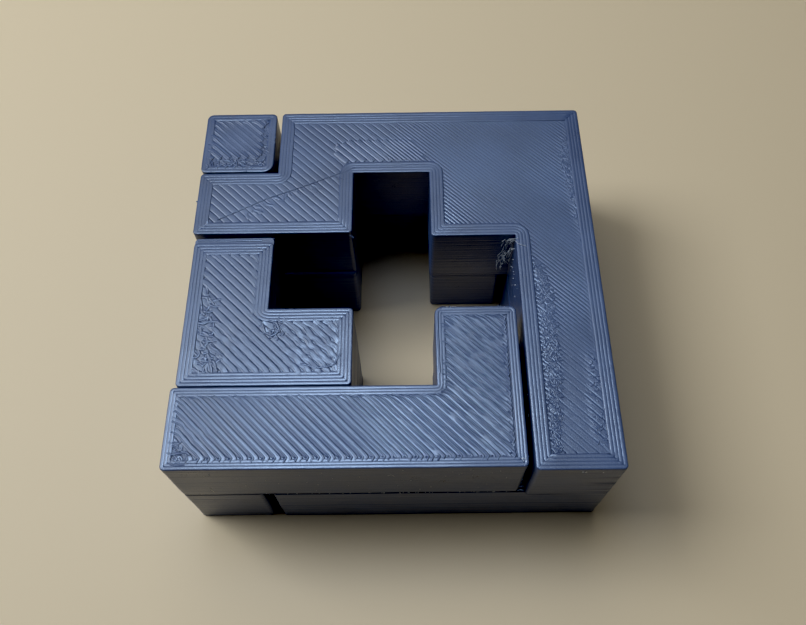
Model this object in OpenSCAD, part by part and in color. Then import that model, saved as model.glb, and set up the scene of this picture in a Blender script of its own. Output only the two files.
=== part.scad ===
// Two-layer burr puzzle: three interlocking pieces on a grid of five by five cells.
// The front of the puzzle faces -Y, its underside lies at z = 0, and the origin is
// at the centre of that underside.

/* [Grid] */
// Side of one square cell
cell = 10; // [6:0.5:20]
// Height of one of the two layers
layer_h = 10; // [6:0.5:20]

/* [Fit] */
// Relief on every side wall of the frame piece
frame_relief = 0.3; // [0.1:0.05:0.5]
// Relief on every side wall of the hook piece
hook_relief = 0.1; // [0.1:0.05:0.4]
// Relief on every side wall of the key piece
key_relief = 0.1; // [0.1:0.05:0.4]
// Clear height between the layers where two pieces cross
layer_gap = 0.2; // [0.1:0.05:0.6]

/* [Play taken up at rest] */
// How far right of its cells the frame piece lies
frame_lie_x = -0.45; // [-0.45:0.05:0]
// How far behind its cells the frame piece lies
frame_lie_y = 0.2; // [0:0.05:0.3]
// How far right of its cells the hook piece lies
hook_lie_x = -0.15; // [-0.15:0.05:0]
// How far right of its cells the key piece lies
key_lie_x = 0.25; // [0:0.05:0.25]

/* [Corners] */
// Radius of the upright outer corners
corner_r = 0.8; // [0.2:0.1:1.5]
// Flats along each rounded corner
corner_steps = 5; // [3:1:8]

/* [Hidden] */

cells_across = 5;
half_side = cells_across * cell / 2;

// Outlines on the cell grid, counter-clockwise, counted in cells from the front left.
frame_upper_cube = [[0, 4], [1, 4], [1, 5], [0, 5]];
frame_upper_bar = [[0, 0], [4, 0], [4, 2], [3, 2], [3, 1], [0, 1]];
frame_lower = [[0, 0], [1, 0], [1, 4], [3, 4], [3, 3], [4, 3], [4, 5], [0, 5]];
frame_front_post = [[0, 0], [1, 0], [1, 1], [0, 1]];

hook_upper = [[4, 0], [5, 0], [5, 5], [1, 5], [1, 4], [0, 4],
              [0, 3], [2, 3], [2, 4], [3, 4], [3, 3], [4, 3]];
hook_stop = [[1, 3], [2, 3], [2, 4], [1, 4]];
hook_lower_leg = [[3, 1], [5, 1], [5, 5], [4, 5], [4, 2], [3, 2]];
hook_right_post = [[4, 1], [5, 1], [5, 5], [4, 5]];

key_upper = [[0, 1], [2, 1], [2, 2], [1, 2], [1, 3], [0, 3]];
key_lower = [[1, 0], [5, 0], [5, 1], [2, 1], [2, 2], [1, 2]];
key_post = [[1, 1], [2, 1], [2, 2], [1, 2]];

// Wraps a position round the end of a list.
function wrapped(list, i) = list[(i + len(list)) % len(list)];

// Direction of the outline's side that leaves corner i.
function side_dir(outline, i) =
    let (step = wrapped(outline, i + 1) - outline[i])
    step / norm(step);

// The left-hand normal, which points into a counter-clockwise outline.
function inward(dir) = [-dir[1], dir[0]];

// True where a counter-clockwise outline turns left, at an outer corner.
function is_outer(before, after) = before[0] * after[1] - before[1] * after[0] > 0;

// A corner in millimetres, moved inwards from both of its sides by the relief.
function relieved(corner, before, after, relief) =
    corner * cell - [half_side, half_side] + relief * (inward(before) + inward(after));

// The points that round an outer corner, from its first side to its second.
function rounded(tip, before, after) =
    let (centre = tip + corner_r * (after - before))
    [for (i = [0 : corner_steps])
        let (turn = 90 * i / corner_steps)
        centre + corner_r * (before * sin(turn) - after * cos(turn))];

// A cell outline in millimetres, with its relief and its rounded outer corners.
function wall_path(outline, relief) =
    [for (i = [0 : len(outline) - 1])
        let (
            before = side_dir(outline, (i + len(outline) - 1) % len(outline)),
            after = side_dir(outline, i),
            tip = relieved(outline[i], before, after, relief)
        )
        each is_outer(before, after) ? rounded(tip, before, after) : [tip]];

// A solid with the given outline between two heights.
module slab(outline, relief, bottom, top) {
    translate([0, 0, bottom])
        linear_extrude(height = top - bottom)
            polygon(wall_path(outline, relief));
}

// One printed piece: slabs in each layer, and posts that join the layers.
module piece(uppers, lowers, posts, relief) {
    for (outline = uppers)
        slab(outline, relief, layer_h + layer_gap / 2, 2 * layer_h);
    for (outline = lowers)
        slab(outline, relief, 0, layer_h - layer_gap / 2);
    for (outline = posts)
        slab(outline, relief, 0, 2 * layer_h);
}

// The rear left cube and the front bar, joined below by a bent rail.
module frame_piece() {
    color([0.33, 0.37, 0.47])
        translate([frame_lie_x, frame_lie_y, 0])
            piece([frame_upper_cube, frame_upper_bar], [frame_lower],
                  [frame_upper_cube, frame_front_post], frame_relief);
}

// The large hooked plate, with a stop and a toed leg below it.
module hook_piece() {
    color([0.30, 0.34, 0.44])
        translate([hook_lie_x, 0, 0])
            piece([hook_upper], [hook_stop, hook_lower_leg],
                  [hook_stop, hook_right_post], hook_relief);
}

// The small step on the left, with the long front rail below it.
module key_piece() {
    color([0.36, 0.40, 0.50])
        translate([key_lie_x, 0, 0])
            piece([key_upper], [key_lower], [key_post], key_relief);
}

frame_piece();
hook_piece();
key_piece();
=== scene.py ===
"""A two-layer burr puzzle of three printed plastic pieces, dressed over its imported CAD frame.

Every printed piece is rebuilt as it was laid down: walls of stacked layers, outline lines and
diagonal fill lines on the faces, and the scars, blobs and strings that a small printer leaves.
Sizes are in millimetres until a piece is finished, and in metres from there on.
"""

import logging
import math
import random
from dataclasses import dataclass, field, fields
from enum import Enum
from typing import NamedTuple

import bmesh
import bpy
import numpy as np
from mathutils import Matrix, Vector, noise


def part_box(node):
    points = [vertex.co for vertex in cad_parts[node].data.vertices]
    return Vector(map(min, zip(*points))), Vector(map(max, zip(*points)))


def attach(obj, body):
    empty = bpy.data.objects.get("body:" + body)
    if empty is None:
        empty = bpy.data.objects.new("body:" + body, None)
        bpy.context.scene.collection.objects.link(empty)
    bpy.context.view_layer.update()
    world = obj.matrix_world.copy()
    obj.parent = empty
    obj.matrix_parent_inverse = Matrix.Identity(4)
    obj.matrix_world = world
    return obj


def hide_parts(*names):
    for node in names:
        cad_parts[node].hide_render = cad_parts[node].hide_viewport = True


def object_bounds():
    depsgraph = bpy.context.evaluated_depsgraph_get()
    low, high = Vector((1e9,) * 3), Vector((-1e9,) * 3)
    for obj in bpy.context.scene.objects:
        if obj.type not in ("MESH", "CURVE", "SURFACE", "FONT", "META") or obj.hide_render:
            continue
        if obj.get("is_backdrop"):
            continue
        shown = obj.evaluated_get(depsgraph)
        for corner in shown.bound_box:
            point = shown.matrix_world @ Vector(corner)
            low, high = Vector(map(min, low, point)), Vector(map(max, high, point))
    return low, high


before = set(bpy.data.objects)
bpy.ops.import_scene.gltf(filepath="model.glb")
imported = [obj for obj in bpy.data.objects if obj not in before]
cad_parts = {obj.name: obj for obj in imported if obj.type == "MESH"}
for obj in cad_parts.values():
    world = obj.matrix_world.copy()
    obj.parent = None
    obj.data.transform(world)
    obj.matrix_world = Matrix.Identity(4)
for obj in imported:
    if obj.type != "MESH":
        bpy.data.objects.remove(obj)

MM = 0.001
LOG = logging.getLogger("burr_puzzle")
CORNER_STEPS = 4
OUTER_RADIUS = 0.16
INNER_RADIUS = 0.09

Point = tuple[float, float]
Feeds = dict[str | int, object]


class Spot(NamedTuple):
    """A point of a laid line: its place, its strength and its height above the skin."""

    x: float
    y: float
    strength: float = 1.0
    lift: float = 0.0


Path = list[Spot]


class Side(Enum):
    """Which way a printed skin faces."""

    TOP = 1
    UNDER = -1


# ---------------------------------------------------------------- plain geometry


def inward(direction: Point) -> Point:
    """The left-hand normal of a side, which points into a counter-clockwise outline."""
    return (-direction[1], direction[0])


def inside(point: Point, polygon: list[Point]) -> bool:
    """True where the point lies in the polygon."""
    x, y = point
    hit = False
    for (ax, ay), (bx, by) in zip(polygon, polygon[1:] + polygon[:1]):
        if (ay > y) != (by > y) and x < ax + (y - ay) * (bx - ax) / (by - ay):
            hit = not hit
    return hit


def along(points: list[Point], step: float, closed: bool = False, guard: float = 0.0) -> list[Point]:
    """Adds points on the straight stretches of a line.

    Args:
        points: The line's corners.
        step: Longest stretch that is left without a point.
        closed: True where the last point joins the first.
        guard: Distance from a long stretch's ends at which it gets a point of its own.

    Returns:
        The corners and the added points, in order.
    """
    ends = points[1:] + points[:1] if closed else points[1:]
    out: list[Point] = []
    for a, b in zip(points, ends):
        length = math.dist(a, b)
        parts = max(1, math.ceil(length / step))
        shares = [k / parts for k in range(parts)]
        if guard and length > 4 * guard:
            shares += [guard / length, 1 - guard / length]
        out += [(a[0] + (b[0] - a[0]) * t, a[1] + (b[1] - a[1]) * t) for t in sorted(shares)]
    return out if closed else out + [points[-1]]


@dataclass(frozen=True)
class Placing:
    """Where one piece's cells lie: the front left corner of its grid, and its reliefs.

    Attributes:
        corner: Front left corner of the cell grid.
        cell: Side of a cell.
        relief: How far the walls stand back from the cells.
        levels: Heights of the underside, the lower layer's top, the upper layer's underside and the top.
    """

    corner: Point
    cell: float
    relief: float
    levels: tuple[float, float, float, float]

    def at(self, u: float, v: float) -> Point:
        """The place of a point that is counted in cells from the front left."""
        return (self.corner[0] + u * self.cell, self.corner[1] + v * self.cell)

    def area(self, cells: tuple[Point, ...]) -> list[Point]:
        """A polygon that is counted in cells, in place."""
        return [self.at(u, v) for u, v in cells]


def placing(node: str, cells_wide: int) -> Placing:
    """Works out a piece's placing from its CAD node.

    Args:
        node: Name of the CAD node.
        cells_wide: How many cells wide the piece is.

    Returns:
        The placing, in millimetres.
    """
    low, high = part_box("frame_piece")
    cell = ((high.y - low.y) - (high.x - low.x)) / MM
    low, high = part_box(node)
    relief = (cells_wide * cell - (high.x - low.x) / MM) / 2
    heights = sorted({round(v.co.z / MM, 3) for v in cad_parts[node].data.vertices})
    return Placing((low.x / MM - relief, low.y / MM - relief), cell, relief, tuple(heights[:4]))


@dataclass(frozen=True)
class Outline:
    """A right-angled outline, counter-clockwise, in cells from the front left.

    Attributes:
        corners: The corners, in cells.
        corner_r: Radius of the upright outer corners.
        soft: Radii of single corners that are rounder than the others, by index.
    """

    corners: tuple[Point, ...]
    corner_r: float = 0.5
    soft: dict[int, float] = field(default_factory=dict)

    def loop(self, place: Placing, inset: float) -> list[Point]:
        """The closed line that runs at a distance inside the walls.

        Args:
            place: Where the piece's cells lie.
            inset: Distance from the walls.

        Returns:
            The line's points, with arcs at its corners.
        """
        spots = place.area(self.corners)
        turns = [math.pi / 2 * k / CORNER_STEPS for k in range(CORNER_STEPS + 1)]
        out: list[Point] = []
        for i, spot in enumerate(spots):
            before, after = self._side(spots, i - 1), self._side(spots, i)
            n0, n1 = inward(before), inward(after)
            wall = tuple(spot[k] + place.relief * (n0[k] + n1[k]) for k in (0, 1))
            if before[0] * after[1] - before[1] * after[0] > 0:
                radius = max(self.soft.get(i, self.corner_r) - inset, OUTER_RADIUS)
                tip = tuple(wall[k] + inset * (n0[k] + n1[k]) for k in (0, 1))
                centre = tuple(tip[k] + radius * (after[k] - before[k]) for k in (0, 1))
                arc = [(before, math.sin(t), after, -math.cos(t)) for t in turns]
            else:
                radius, centre = max(inset, INNER_RADIUS), wall
                arc = [(n0, math.cos(t), n1, math.sin(t)) for t in turns]
            out += [tuple(centre[k] + radius * (a[k] * s + b[k] * c) for k in (0, 1)) for a, s, b, c in arc]
        return out

    @staticmethod
    def _side(spots: list[Point], i: int) -> Point:
        """Direction of the side that leaves corner i."""
        a, b = spots[i], spots[(i + 1) % len(spots)]
        length = math.dist(a, b)
        return ((b[0] - a[0]) / length, (b[1] - a[1]) / length)


# ---------------------------------------------------------------- node helpers


class TreeMaker:
    """Builds one node tree, with its sockets by name."""

    def __init__(self, tree: bpy.types.NodeTree) -> None:
        """Starts from an empty tree."""
        self.tree = tree

    def add(self, kind: str, feeds: Feeds | None = None, **settings: object) -> bpy.types.Node:
        """Adds a node.

        Args:
            kind: Type of the node.
            feeds: Its inputs by name or number, each a socket to link or a plain value.
            settings: Its properties.

        Returns:
            The node.
        """
        node = self.tree.nodes.new(kind)
        for name, value in settings.items():
            setattr(node, name, value)
        for name, value in (feeds or {}).items():
            if isinstance(value, bpy.types.NodeSocket):
                self.tree.links.new(value, node.inputs[name])
            else:
                node.inputs[name].default_value = value
        return node

    def out(self, kind: str, feeds: Feeds | None = None, **settings: object) -> bpy.types.NodeSocket:
        """Adds a node and returns its first output."""
        return self.add(kind, feeds, **settings).outputs[0]

    def math(self, operation: str, *values: object) -> bpy.types.NodeSocket:
        """A Math node on sockets or numbers."""
        return self.out("ShaderNodeMath", dict(enumerate(values)), operation=operation)

    def vector(self, operation: str, a: bpy.types.NodeSocket, b: object) -> bpy.types.NodeSocket:
        """A Vector Math node on a socket and a socket, triple or scale."""
        slot = 3 if operation == "SCALE" else 1
        return self.out("ShaderNodeVectorMath", {0: a, slot: b}, operation=operation)

    def place(self) -> bpy.types.Node:
        """The points' place, split into X, Y and Z."""
        return self.add("ShaderNodeSeparateXYZ", {0: self.out("GeometryNodeInputPosition")})

    def group_input(self, defaults: dict[str, float | int | None]) -> bpy.types.NodeOutputs:
        """Args:
            defaults: Default of each input but the geometry: a float, an int, or None for a material.

        Returns:
            The inputs, as the outputs of the Group Input.
        """
        face = self.tree.interface
        face.new_socket("Geometry", in_out="INPUT", socket_type="NodeSocketGeometry")
        kinds = {float: "NodeSocketFloat", int: "NodeSocketInt", type(None): "NodeSocketMaterial"}
        for name, default in defaults.items():
            socket = face.new_socket(name, in_out="INPUT", socket_type=kinds[type(default)])
            if default is not None:
                socket.default_value = default
        face.new_socket("Geometry", in_out="OUTPUT", socket_type="NodeSocketGeometry")
        return self.add("NodeGroupInput").outputs

    def finish(self, geometry: bpy.types.NodeSocket, material: bpy.types.NodeSocket) -> None:
        """Ends the tree in Realize Instances, Set Material and the Group Output."""
        real = self.out("GeometryNodeRealizeInstances", {0: geometry})
        painted = self.out("GeometryNodeSetMaterial", {"Geometry": real, "Material": material})
        self.add("NodeGroupOutput", {0: painted})


class GrownMesh:
    """A Geometry Nodes tree that turns a bare mesh into a finished one."""

    tree: bpy.types.NodeTree

    def grow(self, base: bpy.types.Mesh, inputs: dict[str, object]) -> bpy.types.Mesh:
        """Runs the tree on a bare mesh.

        Args:
            base: Points or edges that the tree works on.
            inputs: Values of the tree's inputs, by name.

        Returns:
            A plain mesh, with its faces outward.
        """
        holder = bpy.data.objects.new("holder", base)
        bpy.context.scene.collection.objects.link(holder)
        modifier = holder.modifiers.new("grow", "NODES")
        modifier.node_group = self.tree
        for item in self.tree.interface.items_tree:
            if item.item_type == "SOCKET" and item.in_out == "INPUT" and item.name in inputs:
                modifier[item.identifier] = inputs[item.name]
        graph = bpy.context.evaluated_depsgraph_get()
        mesh = bpy.data.meshes.new_from_object(holder.evaluated_get(graph), depsgraph=graph)
        holder.modifiers.remove(modifier)
        bpy.data.objects.remove(holder)
        bpy.data.meshes.remove(base)
        work = bmesh.new()
        work.from_mesh(mesh)
        bmesh.ops.recalc_face_normals(work, faces=work.faces)
        work.to_mesh(mesh)
        work.free()
        return mesh


@dataclass(frozen=True)
class LineStyle:
    """How one kind of plastic line is laid.

    Attributes:
        width: Width of the line.
        height: How far it stands above the skin.
        squareness: 2 for a round back, more for a flat one.
        wander: How far it strays sideways.
        swell: How much its thickness varies, as a share.
        grain: How quickly it varies, per millimetre.
        ribs: Points across the line.
        step: Distance between points along it.
    """

    width: float = 0.45
    height: float = 0.10
    squareness: float = 2.4
    wander: float = 0.03
    swell: float = 0.12
    grain: float = 0.7
    ribs: int = 7
    step: float = 0.8

    def values(self) -> dict[str, float | int]:
        """The style as inputs of the tree; the step belongs to the paths instead."""
        return {f.name.capitalize(): getattr(self, f.name) for f in fields(self) if f.name != "step"}


class LaidLines(GrownMesh):
    """Sweeps a domed profile along paths, so that they become lines of laid plastic."""

    def __init__(self) -> None:
        """Builds the tree."""
        self.tree = bpy.data.node_groups.new("laid_lines", "GeometryNodeTree")
        maker = TreeMaker(self.tree)
        source = maker.group_input({**LineStyle().values(), "Base": 0.0, "Seed": 1, "Material": None})
        curve = maker.out("GeometryNodeMeshToCurve", {"Mesh": source["Geometry"]})
        strayed = self._strayed(maker, source, curve)
        profile = self._profile(maker, source)
        feeds = {"Curve": strayed, "Profile Curve": profile, "Fill Caps": True}
        swept = maker.out("GeometryNodeCurveToMesh", feeds)
        maker.finish(self._pressed(maker, source, swept), source["Material"])

    @staticmethod
    def _strayed(
        maker: TreeMaker, source: bpy.types.NodeOutputs, curve: bpy.types.NodeSocket
    ) -> bpy.types.NodeSocket:
        """Lets the paths wander sideways and swell, by seeded noise at each point."""
        feeds = {
            "Vector": maker.out("GeometryNodeInputPosition"),
            "W": maker.math("MULTIPLY", source["Seed"], 7.31),
            "Scale": source["Grain"],
        }
        drift = maker.add("ShaderNodeTexNoise", feeds, noise_dimensions="4D").outputs
        centred = maker.vector("SUBTRACT", drift["Color"], (0.5, 0.5, 0.5))
        flat = maker.vector("MULTIPLY", centred, (2.0, 2.0, 0.0))
        shift = maker.vector("SCALE", flat, source["Wander"])
        moved = maker.out("GeometryNodeSetPosition", {"Geometry": curve, "Offset": shift})
        spread = maker.math("MULTIPLY", maker.math("SUBTRACT", drift[0], 0.5), source["Swell"])
        radius = maker.math("MULTIPLY_ADD", spread, 2.0, 1.0)
        swollen = maker.out("GeometryNodeSetCurveRadius", {"Curve": moved, "Radius": radius})
        return maker.out("GeometryNodeSetCurveNormal", {"Curve": swollen}, mode="Z_UP")

    @staticmethod
    def _profile(maker: TreeMaker, source: bpy.types.NodeOutputs) -> bpy.types.NodeSocket:
        """A closed dome across the line: a super-ellipse above a flat base."""
        ends = {"Start": (-0.5, 0.0, 0.0), "End": (0.5, 0.0, 0.0)}
        base = maker.out("GeometryNodeCurvePrimitiveLine", ends)
        ribs = maker.out("GeometryNodeResampleCurve", {"Curve": base, "Count": source["Ribs"]})
        across = maker.math("SINE", maker.math("MULTIPLY", maker.place().outputs["X"], math.pi))
        power = maker.math("POWER", maker.math("ABSOLUTE", across), source["Squareness"])
        rest = maker.math("MAXIMUM", maker.math("SUBTRACT", 1.0, power), 0.0)
        dome = maker.math("POWER", rest, maker.math("DIVIDE", 1.0, source["Squareness"]))
        side = maker.math("MULTIPLY", across, maker.math("MULTIPLY", source["Width"], 0.5))
        drop = maker.math("MULTIPLY", maker.math("MULTIPLY", dome, source["Height"]), -1.0)
        place = maker.out("ShaderNodeCombineXYZ", {"X": side, "Y": drop})
        shaped = maker.out("GeometryNodeSetPosition", {"Geometry": ribs, "Position": place})
        return maker.out("GeometryNodeSetSplineCyclic", {0: shaped, "Cyclic": True})

    @staticmethod
    def _pressed(
        maker: TreeMaker, source: bpy.types.NodeOutputs, mesh: bpy.types.NodeSocket
    ) -> bpy.types.NodeSocket:
        """Presses the lines flatter where the paths' strength is low, and smooths them."""
        strength = maker.add("GeometryNodeInputNamedAttribute", {"Name": "strength"}, data_type="FLOAT")
        rise = maker.math("SUBTRACT", maker.place().outputs["Z"], source["Base"])
        less = maker.math("SUBTRACT", strength.outputs["Attribute"], 1.0)
        offset = maker.out("ShaderNodeCombineXYZ", {"Z": maker.math("MULTIPLY", rise, less)})
        moved = maker.out("GeometryNodeSetPosition", {"Geometry": mesh, "Offset": offset})
        return maker.out("GeometryNodeSetShadeSmooth", {0: moved})

    def lay(
        self,
        paths: list[Path],
        style: LineStyle,
        base: float,
        material: bpy.types.Material,
        seed: int,
        closed: bool = False,
    ) -> bpy.types.Mesh:
        """Lays lines along paths.

        Args:
            paths: The paths; a strength of 1 gives the style's full height.
            style: The kind of line.
            base: Height of the skin that the lines lie on.
            material: The plastic.
            seed: Picks the line's irregularities.
            closed: True where each path joins its own start.

        Returns:
            The lines as a plain mesh, in millimetres.
        """
        spots = [spot for path in paths for spot in path]
        edges: list[tuple[int, int]] = []
        start = 0
        for path in paths:
            edges += [(start + k, start + k + 1) for k in range(len(path) - 1)]
            if closed:
                edges.append((start + len(path) - 1, start))
            start += len(path)
        mesh = bpy.data.meshes.new("paths")
        mesh.from_pydata([(spot.x, spot.y, base + spot.lift) for spot in spots], edges, [])
        strength = mesh.attributes.new("strength", "FLOAT", "POINT")
        strength.data.foreach_set("value", np.array([spot.strength for spot in spots], np.float32))
        return self.grow(mesh, {**style.values(), "Base": base, "Seed": seed, "Material": material})


class Specks(GrownMesh):
    """Sets a small lump on every point of a mesh, each with its own size and turn."""

    def __init__(self) -> None:
        """Builds the tree."""
        self.tree = bpy.data.node_groups.new("specks", "GeometryNodeTree")
        maker = TreeMaker(self.tree)
        source = maker.group_input({"Size": 0.08, "Flatness": 0.6, "Seed": 1, "Material": None})
        points = maker.out("GeometryNodeMeshToPoints", {"Mesh": source["Geometry"]})
        lump = maker.out("GeometryNodeMeshIcoSphere", {"Radius": 1.0, "Subdivisions": 2})
        feeds = {1: (0.6, 0.6, math.tau), "Seed": source["Seed"]}
        turn = maker.out("FunctionNodeRandomValue", feeds, data_type="FLOAT_VECTOR")
        feeds = {0: (0.5, 0.5, 0.5), 1: (1.6, 1.0, 0.9), "Seed": maker.math("ADD", source["Seed"], 5.0)}
        size = maker.out("FunctionNodeRandomValue", feeds, data_type="FLOAT_VECTOR")
        scaled = maker.vector("SCALE", size, source["Size"])
        squash = maker.out("ShaderNodeCombineXYZ", {0: 1.0, 1: 1.0, 2: source["Flatness"]})
        feeds = {"Points": points, "Instance": lump, "Rotation": turn}
        feeds["Scale"] = maker.vector("MULTIPLY", scaled, squash)
        lumps = maker.out("GeometryNodeInstanceOnPoints", feeds)
        real = maker.out("GeometryNodeRealizeInstances", {0: lumps})
        maker.finish(maker.out("GeometryNodeSetShadeSmooth", {0: real}), source["Material"])

    def drop(
        self, points: list[Vector], size: float, flatness: float, material: bpy.types.Material, seed: int
    ) -> bpy.types.Mesh:
        """Sets lumps of about the given size on the points and returns them as a plain mesh."""
        mesh = bpy.data.meshes.new("spots")
        mesh.from_pydata([tuple(p) for p in points], [], [])
        return self.grow(mesh, {"Size": size, "Flatness": flatness, "Seed": seed, "Material": material})


# ---------------------------------------------------------------- finishes


@dataclass(frozen=True)
class PrintedPlastic:
    """Slate blue-grey plastic with a satin sheen, as it comes off a small printer.

    Attributes:
        name: Name of the material.
        dark: Colour of the duller patches.
        light: Colour of the paler patches.
        roughness: Smallest and largest roughness.
        grain_mm: Size of the fine grain.
        cloud_mm: Size of the patches.
        cloud_share: Share of the patches in the colour; the rest is the grain's.
        ramp: Where the pattern is fully dark and fully light.
        bump: Depth of the fine grain.
        bump_strength: How far the bump counts.
        ior: Index of refraction.
        coat: Strength of the sharper sheen on top.
        coat_roughness: Roughness of that sheen.
    """

    name: str
    dark: tuple[float, float, float]
    light: tuple[float, float, float]
    roughness: tuple[float, float]
    grain_mm: float = 0.17
    cloud_mm: float = 6.0
    cloud_share: float = 0.65
    ramp: tuple[float, float] = (0.32, 0.68)
    bump: float = 0.035
    bump_strength: float = 0.5
    ior: float = 1.42
    coat: float = 0.2
    coat_roughness: float = 0.16

    def make(self) -> bpy.types.Material:
        """Builds the material's nodes on Object coordinates."""
        material = bpy.data.materials.new(self.name)
        material.use_nodes = True
        maker = TreeMaker(material.node_tree)
        place = maker.add("ShaderNodeTexCoord").outputs["Object"]
        feeds = {"Vector": place, "Scale": 1 / (self.cloud_mm * MM), "Detail": 3.0}
        cloud = maker.math("MULTIPLY", maker.out("ShaderNodeTexNoise", feeds), self.cloud_share)
        feeds = {"Vector": place, "Scale": 1 / (self.grain_mm * MM), "Detail": 4.0}
        grain = maker.out("ShaderNodeTexNoise", feeds)
        blend = maker.math("ADD", cloud, maker.math("MULTIPLY", grain, 1 - self.cloud_share))
        colour = maker.add("ShaderNodeValToRGB", {0: blend})
        for stop, position, shade in zip(colour.color_ramp.elements, self.ramp, (self.dark, self.light)):
            stop.position = position
            stop.color = (*shade, 1.0)
        feeds = {0: blend, 1: 0.3, 2: 0.7, 3: self.roughness[0], 4: self.roughness[1]}
        sheen = maker.out("ShaderNodeMapRange", feeds)
        feeds = {"Strength": self.bump_strength, "Distance": self.bump * MM, "Height": grain}
        relief = maker.out("ShaderNodeBump", feeds)
        shader = material.node_tree.nodes["Principled BSDF"]
        shader.inputs["IOR"].default_value = self.ior
        shader.inputs["Coat Weight"].default_value = self.coat
        shader.inputs["Coat Roughness"].default_value = self.coat_roughness
        for name, socket in (("Base Color", colour.outputs[0]), ("Roughness", sheen), ("Normal", relief)):
            material.node_tree.links.new(socket, shader.inputs[name])
        return material


SLATE = PrintedPlastic("slate_plastic", (0.036, 0.056, 0.128), (0.054, 0.084, 0.185), roughness=(0.26, 0.4))
WHITENED = PrintedPlastic(
    "stretched_plastic", (0.7, 0.74, 0.78), (0.86, 0.89, 0.92), roughness=(0.45, 0.6), cloud_mm=0.8
)


# ---------------------------------------------------------------- walls


@dataclass(frozen=True)
class LayerStyle:
    """How the stacked layers of a wall show.

    Attributes:
        height: Height of one layer.
        groove: Depth of the groove between two layers.
        slip: How far single layers stand in or out.
        thin: Share of the layers that stand clearly back.
        thin_depth: Least and most that those stand back.
        sway: How far the wall bows along its length.
        step: Distance between points along the wall.
        guard: Distance of the first point from a corner.
        foot: How far the first layer spreads.
        low_edge: How much further back the wall's lowest edge stands.
        high_edge: How far back its highest edge stands.
        seam_reach: Reach of the seam where the layers start and end.
        seam: Middle and spread of the seam's bulge.
    """

    height: float = 0.2
    groove: float = 0.011
    slip: float = 0.006
    thin: float = 0.08
    thin_depth: tuple[float, float] = (0.01, 0.03)
    sway: float = 0.03
    step: float = 3.5
    guard: float = 0.15
    foot: float = 0.03
    low_edge: float = 0.04
    high_edge: float = 0.05
    seam_reach: float = 0.35
    seam: tuple[float, float] = (0.03, 0.04)


class LayeredWall:
    """The closed shell of one slab, with a groove below and a ridge at the middle of every layer."""

    RIB = ((0.0, -1.0), (0.5, 0.0))
    WAVES = 3

    def __init__(self, style: LayerStyle, seed: int) -> None:
        """Keeps the style and starts the seeded draws."""
        self.style = style
        self.draw = random.Random(seed)

    def mesh(self, loop: list[Point], bottom: float, top: float, seam: int) -> bpy.types.Mesh:
        """Builds the shell.

        Args:
            loop: The wall's plan, counter-clockwise.
            bottom: Height of its lower rim.
            top: Height of its upper rim.
            seam: Index of the plan's corner where each layer starts and ends.

        Returns:
            The closed shell.
        """
        spots = np.array(along(loop, self.style.step, closed=True, guard=self.style.guard))
        ahead, behind = np.roll(spots, -1, 0), np.roll(spots, 1, 0)
        forward = (ahead - spots) / np.linalg.norm(ahead - spots, axis=1)[:, None]
        back = (spots - behind) / np.linalg.norm(spots - behind, axis=1)[:, None]
        sides = forward + back
        sides /= np.linalg.norm(sides, axis=1)[:, None]
        outward = np.stack([sides[:, 1], -sides[:, 0]], 1)
        start = loop[seam * (CORNER_STEPS + 1) % len(loop)]
        near = np.exp(-(((spots - np.array(start)) ** 2).sum(1)) / self.style.seam_reach**2)
        rings = self._rings(bottom, top)
        walk = np.cumsum(np.linalg.norm(spots - behind, axis=1))
        ranges = ((0.1, 0.5), (0.1, 0.9), (0, 6))
        waves = [[self.draw.uniform(low, high) for low, high in ranges] for _ in range(self.WAVES)]
        corners = []
        for z, out, knot in rings:
            bow = sum(np.sin(walk * a + z * b + c) for a, b, c in waves) * self.style.sway / self.WAVES
            push = out + bow + near * knot
            corners.append(np.column_stack([spots + outward * push[:, None], np.full(len(spots), z)]))
        count = len(spots)
        faces = [tuple(reversed(range(count)))]
        for ring in range(len(rings) - 1):
            low, high = ring * count, (ring + 1) * count
            steps = [(k, (k + 1) % count) for k in range(count)]
            faces += [(low + a, low + b, high + b, high + a) for a, b in steps]
        faces.append(tuple(range((len(rings) - 1) * count, len(rings) * count)))
        mesh = bpy.data.meshes.new("wall")
        mesh.from_pydata(np.concatenate(corners).tolist(), [], faces)
        mesh.polygons.foreach_set("use_smooth", [0] + [1] * (len(faces) - 2) + [0])
        return mesh

    def _rings(self, bottom: float, top: float) -> list[tuple[float, float, float]]:
        """Height, offset and seam bulge of each ring, from the bottom up."""
        layers = max(1, round((top - bottom) / self.style.height))
        tall = (top - bottom) / layers
        rings: list[tuple[float, float, float]] = []
        for layer in range(layers):
            slip = self.draw.gauss(0, self.style.slip)
            if self.draw.random() < self.style.thin:
                slip -= self.draw.uniform(*self.style.thin_depth)
            knot = abs(self.draw.gauss(*self.style.seam))
            spread = self.style.foot if layer == 0 and bottom < tall else 0.0
            for share, dip in self.RIB:
                edge = self.style.low_edge if layer == 0 and dip else 0.0
                offset = slip + spread + dip * self.style.groove - edge
                rings.append((bottom + (layer + share) * tall, offset, knot))
        rings.append((top, -self.style.high_edge, 0.0))
        return rings


# ---------------------------------------------------------------- printed faces


@dataclass(frozen=True)
class Press:
    """A round patch where the fill came out differently.

    Attributes:
        centre: The patch's middle, in cells.
        radius: Its reach, in cells.
        factor: Strength of the fill at its middle.
        grit: How much the strength varies over a short distance there.
        shake: How far the lines stray sideways there.
    """

    centre: Point
    radius: float
    factor: float = 1.0
    grit: float = 0.0
    shake: float = 0.0

    def share(self, spot: Point, place: Placing) -> float:
        """How strongly the patch acts on a spot, from 0 to 1."""
        reach = math.dist(spot, place.at(*self.centre)) / (self.radius * place.cell)
        return min(1.0, max(0.0, 1.0 - reach**2) * 1.8)


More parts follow.
